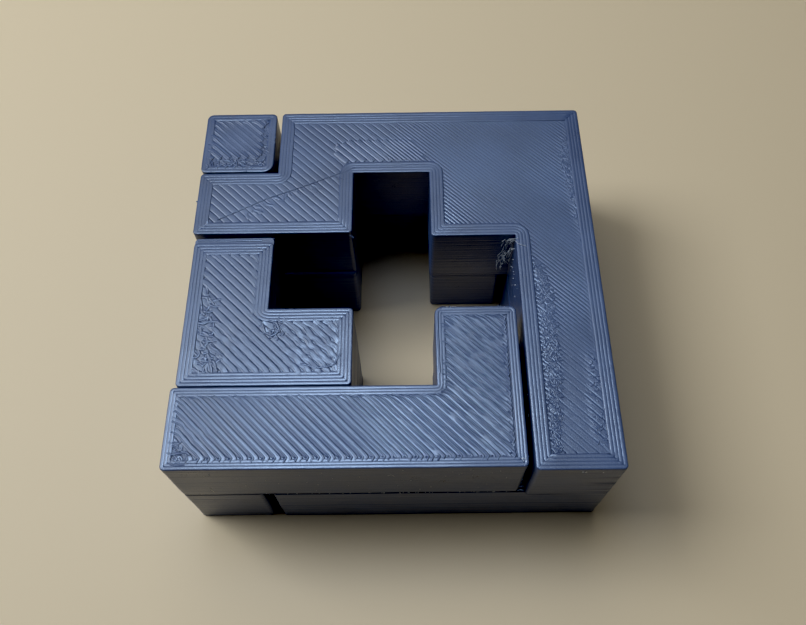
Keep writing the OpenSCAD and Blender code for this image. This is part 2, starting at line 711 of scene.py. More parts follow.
@dataclass(frozen=True)
class Scuff:
    """A damaged patch: its fill stops or is pressed down, and short curls lie there.

    Attributes:
        area: The patch's corners, in cells.
        curls: How many curls per square millimetre.
        width: Width of a curl.
        heading: Direction of the curls, in degrees.
        spread: How far their directions vary, in degrees.
        strength: Height of the curls against the skin's.
        links: Fewest and most stretches of a curl.
    """

    area: tuple[Point, ...]
    curls: float = 5.0
    width: float = 0.24
    heading: float = -45.0
    spread: float = 60.0
    strength: float = 1.0
    links: tuple[int, int] = (3, 7)


@dataclass(frozen=True)
class Scar:
    """A single strand that was dragged or dropped on the finished face.

    Attributes:
        line: The strand's corners, in cells.
        width: Its width.
        strength: Its height against the skin's.
    """

    line: tuple[Point, ...]
    width: float = 0.2
    strength: float = 1.1


@dataclass(frozen=True)
class Patch:
    """A part of the fill that was laid on its own, out of step with the rest.

    Attributes:
        area: The patch's corners, in cells.
        shift: How far its lines are shifted, as a share of the pitch.
        gain: Strength of its lines against the rest.
    """

    area: tuple[Point, ...]
    shift: float = 0.5
    gain: float = 1.3


@dataclass(frozen=True)
class FillLine:
    """One family of parallel fill lines.

    Attributes:
        style: The kind of line.
        phase: Its place between two ridges, as a share of the pitch.
        presses: Patches that act on this family only.
        sunk: Strength of the lines where the face is damaged, or 0 where they stop there.
    """

    style: LineStyle
    phase: float
    presses: tuple[Press, ...] = ()
    sunk: float = 0.0


@dataclass(frozen=True)
class FaceStyle:
    """The look of one printed face.

    Attributes:
        rim: The outline lines.
        rim_pitch: Distance between two outline lines.
        rims: Height of each outline line against the style's, from the wall inwards.
        inset: Distance from the walls to the fill.
        lines: The families of fill lines.
        pitch: Distance between ridges.
        heading: Direction of the fill, in degrees.
        hooks: How far the lines bend aside at their back and front ends.
        hook_length: Length of the bent stretch.
        tail: The stroke that turns off each line's front end.
        knob: How much higher the lines are at their front ends.
        patchiness: How much the strength varies from place to place.
        grit: How much it varies over a short distance.
    """

    rim: LineStyle = LineStyle(width=0.56, height=0.1, squareness=2.6, ribs=7)
    rim_pitch: float = 0.42
    rims: tuple[float, ...] = (1.0, 0.95, 0.92, 0.92)
    inset: float = 1.6
    lines: tuple[FillLine, ...] = ()
    pitch: float = 0.83
    heading: float = -45.0
    hooks: tuple[float, float] = (-0.2, -0.15)
    hook_length: float = 1.0
    tail: Point = (0.0, 0.0)
    knob: float = 0.0
    patchiness: float = 0.2
    grit: float = 0.12


@dataclass(frozen=True)
class Wear:
    """Everything that went wrong on one face."""

    presses: tuple[Press, ...] = ()
    scuffs: tuple[Scuff, ...] = ()
    scars: tuple[Scar, ...] = ()
    patches: tuple[Patch, ...] = ()


class PrintedFace:
    """Lays the outline lines, the fill and the scars of one face.

    Attributes:
        LEAST_LINE: Shortest fill line that is laid.
        LIMITS: Least and most strength of the fill.
        UNDER_PATCH: Strength of the fill below a patch that is laid on its own.
        KNOB_REACH: Reach of the knob at a line's front end.
        TAIL: Points of a tail, as shares of its length.
    """

    LEAST_LINE = 0.4
    LIMITS = (0.04, 1.5)
    UNDER_PATCH = 0.45
    KNOB_REACH = 0.35
    TAIL = (0.3, 0.65, 1.0)

    def __init__(self, place: Placing, outline: Outline, style: FaceStyle, wear: Wear, seed: int) -> None:
        """Keeps the face's shape and starts its seeded draws."""
        self.place = place
        self.outline = outline
        self.style = style
        self.wear = wear
        self.seed = seed
        self.draw = random.Random(seed)
        self.cuts = [place.area(scuff.area) for scuff in wear.scuffs]

    def _uneven(self, x: float, y: float, scale: float) -> float:
        """Smooth seeded unevenness, from about -1 to 1."""
        return noise.noise(Vector((x * scale, y * scale, self.seed * 1.37))) * 1.6

    def rims(self) -> list[Path]:
        """Paths of the outline lines, from the wall inwards."""
        out = []
        for k, height in enumerate(self.style.rims):
            loop = self.outline.loop(self.place, self.style.rim.width / 2 + k * self.style.rim_pitch)
            spots = along(loop, self.style.rim.step, closed=True)
            out.append([Spot(x, y, height * (1 + 0.12 * self._uneven(x, y, 0.35))) for x, y in spots])
        return out

    def chords(self, phase: float) -> list[tuple[Point, Point]]:
        """The fill's straight lines, clipped to the space inside the outline lines.

        Args:
            phase: Place of the lines between two ridges, as a share of the pitch.

        Returns:
            The back and front end of each line.
        """
        ring = self.outline.loop(self.place, self.style.inset)
        turn = math.radians(self.style.heading)
        run, cross = (math.cos(turn), math.sin(turn)), (-math.sin(turn), math.cos(turn))
        flat = [(x * run[0] + y * run[1], x * cross[0] + y * cross[1]) for x, y in ring]
        low, high = min(s for _, s in flat), max(s for _, s in flat)
        pitch = self.style.pitch
        room = math.hypot(*self.style.tail)
        lines = []
        for k in range(math.floor(low / pitch) - 1, math.ceil(high / pitch) + 1):
            level = (k + phase) * pitch
            cuts = []
            for (t0, s0), (t1, s1) in zip(flat, flat[1:] + flat[:1]):
                if (s0 > level) != (s1 > level):
                    cuts.append(t0 + (level - s0) * (t1 - t0) / (s1 - s0))
            cuts.sort()
            for t0, t1 in zip(cuts[::2], cuts[1::2]):
                if t1 - room - t0 >= self.LEAST_LINE:
                    ends = (t0, t1 - room)
                    lines.append(tuple(tuple(t * run[k] + level * cross[k] for k in (0, 1)) for t in ends))
        return lines

    def fill(self, line: FillLine, patch: Patch | None = None) -> list[Path]:
        """Paths of one family of fill lines, bent at their ends.

        Where the face is damaged they are pressed down, or stop if the family has no sunk strength.

        Args:
            line: The family.
            patch: The patch that is filled on its own, or None for all the rest.

        Returns:
            The paths.
        """
        turn = math.radians(self.style.heading)
        cross = (-math.sin(turn), math.cos(turn))
        away = [self.place.area(other.area) for other in self.wear.patches]
        keep = self.place.area(patch.area) if patch else None
        blocked = [] if line.sunk else self.cuts
        gain, shift = (patch.gain, patch.shift) if patch else (1.0, 0.0)
        out: list[Path] = []
        for start, end in self.chords(line.phase + shift):
            bends = [hook * self.draw.uniform(0.5, 1.4) for hook in self.style.hooks]
            path: Path = []
            for x, y in self._curved(start, end, line.style.step, bends, cross):
                stray = self._shake((x, y))
                spot = (x + cross[0] * stray, y + cross[1] * stray)
                if any(inside(spot, area) for area in blocked) or (keep and not inside(spot, keep)):
                    out.append(path)
                    path = []
                    continue
                knob = 1 + self.style.knob * math.exp(-((math.dist(end, (x, y)) / self.KNOB_REACH) ** 2))
                strength = self._strength(spot, line.presses) * gain * knob
                if line.sunk and any(inside(spot, area) for area in self.cuts):
                    strength = line.sunk
                if not patch and any(inside(spot, area) for area in away):
                    strength *= self.UNDER_PATCH
                path.append(Spot(*spot, strength))
            out.append(path)
        return [path for path in out if len(path) > 2]

    def _curved(
        self, start: Point, end: Point, step: float, bends: list[float], cross: Point
    ) -> list[Point]:
        """Points of one fill line, with its bent ends and its tail."""
        length = math.dist(start, end)
        reach = self.style.hook_length
        spots = []
        for x, y in along([start, end], step):
            s = math.dist(start, (x, y))
            bend = bends[0] * max(0.0, 1 - s / reach) ** 2
            bend += bends[1] * max(0.0, 1 - (length - s) / reach) ** 2
            spots.append((x + cross[0] * bend, y + cross[1] * bend))
        if any(self.style.tail):
            x, y = spots[-1]
            size = self.draw.uniform(0.6, 1.15)
            away = (self.style.tail[0] * size, self.style.tail[1] * size)
            spots += [(x + away[0] * share, y + away[1] * share) for share in self.TAIL]
        return spots

    def _shake(self, spot: Point) -> float:
        """How far a line strays at a spot."""
        stray = sum(p.shake * p.share(spot, self.place) for p in self.wear.presses if p.shake)
        return stray * self._uneven(spot[0], spot[1], 1.1) if stray else 0.0

    def _strength(self, spot: Point, presses: tuple[Press, ...]) -> float:
        """Height of the fill at a spot, as a share of its style's."""
        strength = 1 + self.style.patchiness * self._uneven(*spot, 0.12)
        grit = self.style.grit
        for press in presses + self.wear.presses:
            share = press.share(spot, self.place)
            strength *= 1 + (press.factor - 1) * share
            grit += press.grit * share
        return min(self.LIMITS[1], max(self.LIMITS[0], strength * (1 + grit * self._uneven(*spot, 1.3))))

    def curls(self, scuff: Scuff) -> list[Path]:
        """Short curled strands, scattered over a damaged patch."""
        area = self.place.area(scuff.area)
        xs, ys = [p[0] for p in area], [p[1] for p in area]
        out: list[Path] = []
        for _ in range(round((max(xs) - min(xs)) * (max(ys) - min(ys)) * scuff.curls)):
            x, y = self.draw.uniform(min(xs), max(xs)), self.draw.uniform(min(ys), max(ys))
            turn = math.radians(scuff.heading + self.draw.gauss(0, scuff.spread / 2))
            bend = self.draw.gauss(0, 0.35)
            if not inside((x, y), area):
                continue
            stretch = scuff.width * 0.75
            path: Path = []
            for _ in range(self.draw.randint(*scuff.links)):
                path.append(Spot(x, y, scuff.strength * self.draw.uniform(0.6, 1.15)))
                x, y = x + stretch * math.cos(turn), y + stretch * math.sin(turn)
                turn += bend
            out.append(path)
        return out

    def scar(self, scar: Scar) -> Path:
        """The path of a single strand."""
        line = along(self.place.area(scar.line), 0.3)
        return [Spot(x, y, scar.strength * (1 + 0.15 * self._uneven(x, y, 2.0))) for x, y in line]


# ---------------------------------------------------------------- the printed pieces


PLAIN = FaceStyle(
    rim=LineStyle(width=0.5, ribs=5, step=3.0, height=0.08),
    rim_pitch=0.45,
    lines=(FillLine(LineStyle(width=0.8, height=0.08, ribs=5, step=1.6), 0.5),),
    heading=45.0,
)
FIRST_LAYER = FaceStyle(
    rim=LineStyle(width=0.46, height=0.06, squareness=4.0, ribs=5, step=3.0),
    rim_pitch=0.45,
    lines=(
        FillLine(LineStyle(width=0.43, height=0.06, squareness=4.0, ribs=5, step=3.0, swell=0.05), 0.25),
        FillLine(LineStyle(width=0.43, height=0.06, squareness=4.0, ribs=5, step=3.0, swell=0.05), 0.75),
    ),
    heading=45.0,
    patchiness=0.1,
)


def set_down(
    name: str, body: str, parts: list[bpy.types.Mesh], plastic: bpy.types.Material, node: str | None = None
) -> bpy.types.Object:
    """Joins meshes into one object in metres and puts it on its body.

    Args:
        name: Name of the object.
        body: CAD body that it moves with.
        parts: The meshes, in millimetres; they are removed.
        plastic: The material of the whole object.
        node: CAD node that it stands for, if any.

    Returns:
        The object.
    """
    joined = bmesh.new()
    for part in parts:
        joined.from_mesh(part)
        bpy.data.meshes.remove(part)
    mesh = bpy.data.meshes.new(name)
    joined.to_mesh(mesh)
    joined.free()
    mesh.transform(Matrix.Scale(MM, 4))
    mesh.materials.clear()
    mesh.materials.append(plastic)
    mesh.polygons.foreach_set("material_index", [0] * len(mesh.polygons))
    mesh.update()
    mesh.calc_loop_triangles()
    piece = bpy.data.objects.new(name, mesh)
    bpy.context.scene.collection.objects.link(piece)
    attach(piece, body)
    if node:
        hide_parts(node)
    LOG.info("%s: %d triangles on body %s", name, len(mesh.loop_triangles), body)
    return piece


@dataclass
class PrintedPiece:
    """One printed piece of the puzzle: its slabs, the posts that join them, and their faces.

    Attributes:
        node: CAD node that it stands for.
        body: CAD body that it moves with.
        cells_wide: How many cells wide it is.
        uppers: Outlines in the upper layer.
        lowers: Outlines in the lower layer.
        posts: Outlines where the two layers are joined.
        seed: Picks its irregularities.
        walls: How its layers show.
        skin: Depth that is left for the lines of a face.
        post_waist: How far a post stands back between the layers.
        post_root: How far a post reaches into each slab.
        lump: Size and flatness of a lump.
        parts: The meshes made so far.
    """

    node: str
    body: str
    cells_wide: int
    uppers: tuple[Outline, ...]
    lowers: tuple[Outline, ...]
    posts: tuple[Outline, ...]
    seed: int
    walls: LayerStyle = LayerStyle()
    skin: float = 0.11
    post_waist: float = 0.06
    post_root: float = 0.4
    lump: tuple[float, float] = (0.1, 0.8)
    parts: list[bpy.types.Mesh] = field(default_factory=list)

    def __post_init__(self) -> None:
        """Reads the piece's place from its CAD node."""
        self.place = placing(self.node, self.cells_wide)
        self.draw = random.Random(self.seed)

    def top_style(self, index: int) -> FaceStyle:
        """The look of one upper face."""
        raise NotImplementedError

    def wear(self, index: int) -> Wear:
        """The damage of one upper face."""
        return Wear()

    def lumps(self) -> list[tuple[float, float, float]]:
        """Small lumps on the piece: place in cells and height in millimetres."""
        return []

    def build(self, tools: "Workshop") -> bpy.types.Object:
        """Builds the whole piece.

        Args:
            tools: The shared trees and finishes.

        Returns:
            One object, in metres, riding on its body in place of the CAD node.
        """
        bottom, lower_top, upper_low, top = self.place.levels
        # The last number for a slab or face picks its seed, and on a slab the corner of its seam too.
        for k, outline in enumerate(self.uppers):
            self._slab(outline, upper_low, top, 2 * k + 1)
            self._plain_face(tools, outline, PLAIN, upper_low + self.skin, Side.UNDER, k)
            self._upper_face(tools, outline, top - self.skin, k)
        for k, outline in enumerate(self.lowers):
            self._slab(outline, bottom, lower_top, 2 * k + 11)
            self._plain_face(tools, outline, FIRST_LAYER, bottom + self.skin, Side.UNDER, k + 20)
            self._plain_face(tools, outline, PLAIN, lower_top - self.skin, Side.TOP, k + 40)
        for k, outline in enumerate(self.posts):
            loop = outline.loop(self.place, self.post_waist)
            wall = LayeredWall(self.walls, self.seed + 70 + k)
            self.parts.append(wall.mesh(loop, lower_top - self.post_root, upper_low + self.post_root, 0))
        spots = [Vector((*self.place.at(u, v), z)) for u, v, z in self.lumps()]
        if spots:
            self.parts.append(tools.specks.drop(spots, *self.lump, tools.slate, self.seed))
        return set_down(f"{self.node}_printed", self.body, self.parts, tools.slate, self.node)

    def _slab(self, outline: Outline, low: float, high: float, key: int) -> None:
        """Adds the walls of one slab, leaving room for the lines of its two faces."""
        wall = LayeredWall(self.walls, self.seed + key)
        self.parts.append(wall.mesh(outline.loop(self.place, 0.0), low + self.skin, high - self.skin, key))

    def _plain_face(
        self, tools: "Workshop", outline: Outline, style: FaceStyle, base: float, side: Side, key: int
    ) -> None:
        """Adds the lines of a face without damage."""
        face = PrintedFace(self.place, outline, style, Wear(), self.seed + 100 + key)
        meshes = [tools.lines.lay(face.rims(), style.rim, base, tools.slate, self.seed + key, closed=True)]
        for line in style.lines:
            seed = self.seed + key + 1
            meshes.append(tools.lines.lay(face.fill(line), line.style, base, tools.slate, seed))
        for mesh in meshes:
            if side is Side.UNDER:
                mesh.transform(Matrix.Translation((0, 0, 2 * base)) @ Matrix.Scale(-1, 4, (0, 0, 1)))
                mesh.flip_normals()
            self.parts.append(mesh)

    def _upper_face(self, tools: "Workshop", outline: Outline, base: float, key: int) -> None:
        """Adds the lines, ridges and scars of an upper face."""
        style, wear = self.top_style(key), self.wear(key)
        face = PrintedFace(self.place, self.face_outline(outline), style, wear, self.seed + 200 + key)
        seed = self.seed + 300 + 10 * key
        self.parts.append(tools.lines.lay(face.rims(), style.rim, base, tools.slate, seed, closed=True))
        for k, line in enumerate(style.lines):
            paths = face.fill(line)
            for patch in wear.patches:
                paths += face.fill(line, patch)
            self.parts.append(tools.lines.lay(paths, line.style, base, tools.slate, seed + k + 1))
        for scuff in wear.scuffs:
            curl = LineStyle(scuff.width, self.skin, 2.2, wander=0.02, swell=0.4, grain=2.0, ribs=5)
            self.parts.append(tools.lines.lay(face.curls(scuff), curl, base, tools.slate, seed + 7))
        for scar in wear.scars:
            strand = LineStyle(scar.width, self.skin, 2.2, wander=0.02, swell=0.25, grain=1.5, ribs=7)
            self.parts.append(tools.lines.lay([face.scar(scar)], strand, base, tools.slate, seed + 8))

    def face_outline(self, outline: Outline) -> Outline:
        """The outline that an upper face's lines follow."""
        return outline


@dataclass
class FramePiece(PrintedPiece):
    """The rear left cube and the front bar, joined below by the bent rail."""

    node: str = "frame_piece"
    body: str = "frame"
    cells_wide: int = 4
    uppers: tuple[Outline, ...] = (
        Outline(((0, 3.96), (1, 3.96), (1, 5), (0, 5)), soft={0: 0.7, 1: 1.3, 2: 0.7, 3: 0.8}),
        Outline(((0, 0), (4, 0), (4, 2), (2.985, 2), (2.985, 1.012), (0, 1.012)), soft={2: 0.7, 3: 0.9}),
    )
    lowers: tuple[Outline, ...] = (
        Outline(((0, 0), (1, 0), (1, 4), (3, 4), (3, 3.05), (4, 3.05), (4, 5), (0, 5))),
    )
    posts: tuple[Outline, ...] = (
        Outline(((0, 4), (1, 4), (1, 5), (0, 5))),
        Outline(((0, 0), (1, 0), (1, 1), (0, 1))),
    )
    seed: int = 1100

    def top_style(self, index: int) -> FaceStyle:
        """A burnished cube, and a bar with thin bright crests."""
        ridge = LineStyle(width=0.92, height=0.07, squareness=2.0, step=0.45, swell=0.16, wander=0.03)
        crest = LineStyle(width=0.3, height=0.145, squareness=1.6, step=0.4, swell=0.35, wander=0.02)
        if index == 0:
            return FaceStyle(
                rim=LineStyle(width=0.7, height=0.085, squareness=2.4),
                rims=(0.9, 0.95),
                inset=0.8,
                lines=(FillLine(ridge, 0.5), FillLine(crest, 0.4)),
                hooks=(-0.3, -0.25),
                tail=(-0.35, -0.3),
                knob=0.15,
                patchiness=0.3,
            )
        fine = (Press((3.5, 0.6), 1.5, 0.4), Press((3.5, 1.5), 0.8, 0.4))
        more = (Press((3.5, 0.6), 1.5, 1.5, grit=0.75), Press((3.5, 1.5), 0.8, 1.15, grit=0.75))
        return FaceStyle(
            rim=LineStyle(width=0.5, height=0.095, squareness=3.2),
            rim_pitch=0.34,
            rims=(1.0, 0.97, 0.85),
            inset=0.9,
            lines=(
                FillLine(ridge, 0.5, fine, 0.5),
                FillLine(crest, 0.36, (Press((3.5, 0.8), 1.5, 0.8, grit=0.75),), 0.7),
                FillLine(LineStyle(0.27, 0.1, 1.6, step=0.4, swell=0.35, wander=0.02), 0.8, more, 0.4),
            ),
            hooks=(-0.28, -0.06),
            tail=(-0.28, -0.5),
            knob=0.22,
            patchiness=0.15,
        )

    def wear(self, index: int) -> Wear:
        """The cube's flat middle, and the bar's scribbled corner and proud strand."""
        if index == 0:
            return Wear(
                presses=(Press((0.5, 4.55), 0.36, 0.12), Press((0.25, 4.8), 0.25, 0.4)),
                scuffs=(
                    Scuff(((0.13, 4.1), (0.87, 4.1), (0.87, 4.2), (0.13, 4.2)), 7.0, 0.26, strength=0.85),
                    Scuff(((0.8, 4.15), (0.9, 4.15), (0.9, 4.8), (0.82, 4.8)), 7.0, strength=0.8),
                ),
            )
        scribble = ((0.1, 0.1), (0.3, 0.1), (0.3, 0.2), (0.24, 0.34), (0.12, 0.42))
        return Wear(
            presses=(Press((3.7, 0.5), 0.45, 0.5), Press((0.3, 0.35), 0.3, 0.8, shake=0.1)),
            scuffs=(Scuff(scribble, curls=6.0, spread=120),),
            scars=(
                Scar(((0.13, 0.2), (0.2, 0.215), (0.31, 0.225), (0.34, 0.2)), width=0.36, strength=1.5),
                Scar(((0.14, 0.1), (0.2, 0.085), (0.3, 0.09)), width=0.26, strength=1.35),
                Scar(((3.055, 1.12), (3.05, 1.3), (3.045, 1.7), (3.05, 1.9)), width=0.3, strength=1.5),
            ),
        )

    def lumps(self) -> list[tuple[float, float, float]]:
        """The ragged back edge of the bar's end, and its front right corner."""
        top = self.place.levels[3]
        z = top - 0.04
        edge = [(self.draw.uniform(3.08, 3.95), self.draw.gauss(1.955, 0.01), z) for _ in range(16)]
        corner = [(self.draw.gauss(3.93, 0.02), self.draw.gauss(0.09, 0.03), z) for _ in range(7)]
        return edge + corner


@dataclass
class HookPiece(PrintedPiece):
    """The large hooked plate with its stop and its toed leg."""

    node: str = "hook_piece"
    body: str = "hook"
    cells_wide: int = 5
    uppers: tuple[Outline, ...] = (
        Outline(
            ((4, 0), (5, 0), (5, 5), (1, 5), (1, 4), (0, 4), (0, 3.04), (2, 3.04))
            + ((2, 3.965), (2.96, 3.965), (2.96, 2.975), (4, 2.975))
        ),
    )
    lowers: tuple[Outline, ...] = (
        Outline(((1, 3), (2, 3), (2, 4), (1, 4))),
        Outline(((3, 1), (5, 1), (5, 5), (4, 5), (4, 2), (3, 2))),
    )
    posts: tuple[Outline, ...] = (
        Outline(((1, 3), (2, 3), (2, 4), (1, 4))),
        Outline(((4, 1), (5, 1), (5, 5), (4, 5))),
    )
    seed: int = 2300

    def top_style(self, index: int) -> FaceStyle:
        """Fine fill, coarser on the left arm and nearly smooth on the right."""
        coarse = (
            Press((0.9, 3.7), 1.5, 1.25),
            Press((4.1, 4.0), 1.8, 0.2),
            Press((4.6, 2.4), 1.6, 0.2),
            Press((4.6, 0.9), 1.5, 0.2),
        )
        ridge = LineStyle(0.92, 0.048, 2.1, step=0.6, swell=0.2, wander=0.05)
        strand = LineStyle(0.42, 0.055, 1.8, step=0.8, swell=0.3, wander=0.02, ribs=5)
        crest = LineStyle(0.2, 0.064, 1.7, step=0.55, swell=0.35, wander=0.015, ribs=5)
        calm = (Press((4.4, 4.2), 1.9, 0.5), Press((4.6, 2.3), 1.6, 0.45), Press((4.6, 0.6), 1.4, 0.22))
        faint = (Press((4.2, 4.1), 1.9, 0.2), Press((4.6, 2.3), 1.6, 0.2), Press((4.6, 0.9), 1.4, 0.2))
        return FaceStyle(
            rim=LineStyle(width=0.6, height=0.1, squareness=3.4),
            rim_pitch=0.4,
            rims=(1.0, 1.0, 0.93, 0.9),
            inset=1.5,
            lines=(
                FillLine(ridge, 0.5, coarse, 0.7),
                FillLine(strand, 0.25, calm, 0.7),
                FillLine(strand, 0.75, calm, 0.7),
                FillLine(crest, 0.42, faint, 0.6),
            ),
            hooks=(-0.2, -0.12),
            knob=0.1,
            patchiness=0.25,
        )

    def wear(self, index: int) -> Wear:
        """The long scar, the patch behind the hole and the rough strips beside the outline lines."""
        below = ((0.47, 3.24), (0.85, 3.36), (1.07, 3.56), (1.7, 3.88))
        scar = ((0.29, 3.26), (0.91, 3.59), (1.31, 3.75), (1.83, 3.98), (2.02, 4.06))
        right = ((4.8, 4.58), (4.68, 4.28), (4.68, 4.08), (4.72, 3.8), (4.72, 3.61), (4.77, 3.36))
        right += ((4.83, 2.9), (4.845, 2.9), (4.845, 4.58))
        left = ((4.25, 0.2), (4.32, 0.65), (4.33, 0.93), (4.37, 1.12), (4.38, 1.42), (4.35, 1.73))
        left += ((4.36, 2.05), (4.34, 2.37), (4.2, 2.71), (4.2, 0.2))
        front = ((4.8, 0.25), (4.83, 1.4), (4.7, 1.3), (4.66, 0.3))
        behind = ((1.71, 4.22), (1.75, 4.46), (1.99, 4.54), (2.56, 4.52), (2.75, 4.52), (2.97, 4.26))
        behind += ((2.91, 4.14), (1.93, 4.14))
        return Wear(
            presses=(Press((1.2, 3.45), 0.5, shake=0.05), Press((4.6, 0.9), 0.5, grit=0.4)),
            scuffs=(
                Scuff(right, curls=12.0, width=0.2, heading=-60, spread=80, strength=0.62),
                Scuff(left, curls=13.0, width=0.2, heading=-50, spread=80, strength=0.62),
                Scuff(front, curls=4.0, width=0.18, strength=0.75),
                Scuff((*scar[1:4], *below[::-1]), curls=1.6, width=0.5, links=(2, 4), strength=0.62),
            ),
            scars=(Scar(scar, width=0.14, strength=1.2),),
            patches=(Patch(behind, shift=0.45, gain=1.7),),
        )

    def lumps(self) -> list[tuple[float, float, float]]:
        """A blob at the left arm's front right corner, and a speck on its left edge."""
        top = self.place.levels[3]
        blob = [(1.97 + 0.012 * k, 3.01 - 0.006 * k, top - 0.12 - 0.05 * k) for k in range(4)]
        return [*blob, (0.01, 3.55, top - 0.1), (0.0, 3.56, top - 0.16)]


@dataclass
class KeyPiece(PrintedPiece):
    """The small step on the left and the long front rail."""

    node: str = "key_piece"
    body: str = "key"
    cells_wide: int = 5
    uppers: tuple[Outline, ...] = (Outline(((0, 1), (2, 1), (2, 2), (1, 2), (1, 3), (0, 3))),)
    lowers: tuple[Outline, ...] = (Outline(((1, 0.035), (5, 0.035), (5, 1), (2, 1), (2, 2), (1, 2))),)
    posts: tuple[Outline, ...] = (Outline(((1, 1), (2, 1), (2, 2), (1, 2))),)
    seed: int = 3700

    def top_style(self, index: int) -> FaceStyle:
        """Broad flat ridges with narrow grooves."""
        ridge = LineStyle(0.85, 0.077, 3.0, step=0.4, swell=0.16, wander=0.07, grain=1.2, ribs=9)
        crest = LineStyle(0.3, 0.094, 1.8, step=0.4, swell=0.3, wander=0.04, grain=1.4, ribs=5)
        return FaceStyle(
            rim=LineStyle(width=0.55, height=0.1, squareness=3.4),
            rim_pitch=0.4,
            rims=(1.05, 1.05, 0.92, 0.9),
            inset=1.5,
            lines=(
                FillLine(ridge, 0.5, sunk=0.4),
                FillLine(crest, 0.3),
            ),
            hooks=(-0.2, -0.3),
            patchiness=0.08,
            grit=0.1,
        )

    def face_outline(self, outline: Outline) -> Outline:
        """The upper face stops short of its back wall, where one strand has come away."""
        return Outline(((0, 1), (2, 1), (2, 2), (1, 2), (1, 2.93), (0, 2.93)))

    def wear(self, index: int) -> Wear:
        """The rough patch on the left, the knot at the inner corner and the shaken right end."""
        rough = ((0.2, 2.35), (0.3, 2.18), (0.29, 2.09), (0.34, 1.93), (0.33, 1.81), (0.32, 1.66))
        rough += ((0.36, 1.51), (0.41, 1.42), (0.46, 1.25), (0.4, 1.17), (0.17, 1.17), (0.17, 2.35))
        torn = ((0.95, 1.84), (1.14, 1.84), (1.16, 1.62), (1.0, 1.64))
        knot = ((0.93, 1.8), (0.97, 1.68), (1.06, 1.63), (1.14, 1.7), (1.1, 1.8), (1.0, 1.83))
        return Wear(
            presses=(
                Press((1.6, 1.5), 0.45, 1.0, grit=0.3, shake=0.16),
                Press((0.5, 1.5), 0.4, 1.0, grit=0.2, shake=0.1),
            ),
            scuffs=(
                Scuff(rough, curls=3.4, width=0.4, heading=-40, links=(3, 6)),
                Scuff(torn, curls=5.0, width=0.3, spread=160),
            ),
            scars=(
                Scar(knot, width=0.34, strength=1.3),
                Scar(((0.05, 2.955), (0.4, 2.95), (0.84, 2.957)), width=0.3, strength=0.7),
                Scar(((1.4, 1.28), (1.6, 1.22), (1.78, 1.25), (1.86, 1.4)), width=0.3, strength=1.15),
            ),
        )

    def lumps(self) -> list[tuple[float, float, float]]:
        """The blob where the loose strand ends."""
        top = self.place.levels[3]
        return [(0.975 + 0.008 * k, 2.975, top - 0.06 - 0.03 * k) for k in range(3)]


@dataclass
class Debris:
    """Pale strings and crumbs that hang on a piece.

    Attributes:
        name: Name of the object.
        body: CAD body that it moves with.
        place: Where the piece's cells lie.
        seed: Picks its irregularities.
        strings: Corners of each string, in cells, with their heights in millimetres.
        crumbs: Places of the crumbs, in the same way.
        string: The kind of string.
        step: Longest stretch of a string without a point.
        crumb: Size and flatness of a crumb.
    """

    name: str
    body: str
    place: Placing
    seed: int
    strings: list[list[tuple[float, float, float]]]
    crumbs: list[tuple[float, float, float]]
    string: LineStyle = LineStyle(0.03, 0.03, squareness=2.0, wander=0.12, swell=0.3, grain=0.9, ribs=5)
    step: float = 0.25
    crumb: tuple[float, float] = (0.055, 0.7)

    def build(self, tools: "Workshop") -> bpy.types.Object:
        """Builds the strings and crumbs as one object on their body."""
        paths = []
        for line in self.strings:
            corners = self._spots(line)
            path: Path = []
            for a, b in zip(corners, corners[1:]):
                parts = max(2, math.ceil(math.dist(a, b) / self.step))
                for t in (k / parts for k in range(parts)):
                    x, y, z = (a[i] + (b[i] - a[i]) * t for i in range(3))
                    path.append(Spot(x, y, lift=z))
            paths.append(path)
        strings = tools.lines.lay(paths, self.string, 0.0, tools.whitened, self.seed)
        spots = [Vector(spot) for spot in self._spots(self.crumbs)]
        crumbs = tools.specks.drop(spots, *self.crumb, tools.whitened, self.seed)
        return set_down(self.name, self.body, [strings, crumbs], tools.whitened)

    def _spots(self, places: list[tuple[float, float, float]]) -> list[tuple[float, float, float]]:
        """Places that are counted in cells, with their heights, in millimetres."""
        return [(*self.place.at(u, v), z) for u, v, z in places]


def hook_debris(hook: HookPiece) -> Debris:
    """The strings over the hook's leg and the tangle in the corner of the hole."""
    draw = random.Random(77)
    top = hook.place.levels[3]
    strings = [
        [
            (3.94, 2.965, top - 0.6),
            (3.99, 2.9, top + 0.1),
            (4.03, 2.845, top + 0.12),
            (4.15, 2.8, top + 0.06),
        ],
        [(3.9, 2.96, top - 1.2), (3.96, 2.93, top - 0.1), (4.06, 2.93, top + 0.08)],
        [(3.99, 0.66, top - 0.7), (3.975, 0.63, top - 0.5), (3.97, 0.64, top - 1.0)],
        [(3.99, 0.88, top - 0.4), (3.965, 0.87, top - 0.3)],
    ]
    for _ in range(22):
        u, v, z = draw.uniform(3.86, 3.995), draw.uniform(2.9, 2.965), draw.uniform(top - 5.5, top - 0.4)
        line = [(u, v, z)]
        for _ in range(draw.randint(3, 7)):
            u = min(4.0, max(3.82, u + draw.gauss(0, 0.03)))
            v = min(2.975, max(2.84, v + draw.gauss(0, 0.02)))
            z = min(top - 0.1, z + draw.gauss(-0.2, 0.5))
            line.append((u, v, z))
        strings.append(line)
    crumbs = []
    for _ in range(14):
        crumbs.append((draw.uniform(3.99, 4.005), draw.uniform(2.3, 2.97), top - draw.uniform(0.3, 5)))
    crumbs += [(draw.uniform(4.5, 4.95), 0.005, top - draw.uniform(0.3, 1.2)) for _ in range(6)]
    return Debris("hook_strings", hook.body, hook.place, 77, strings, crumbs)


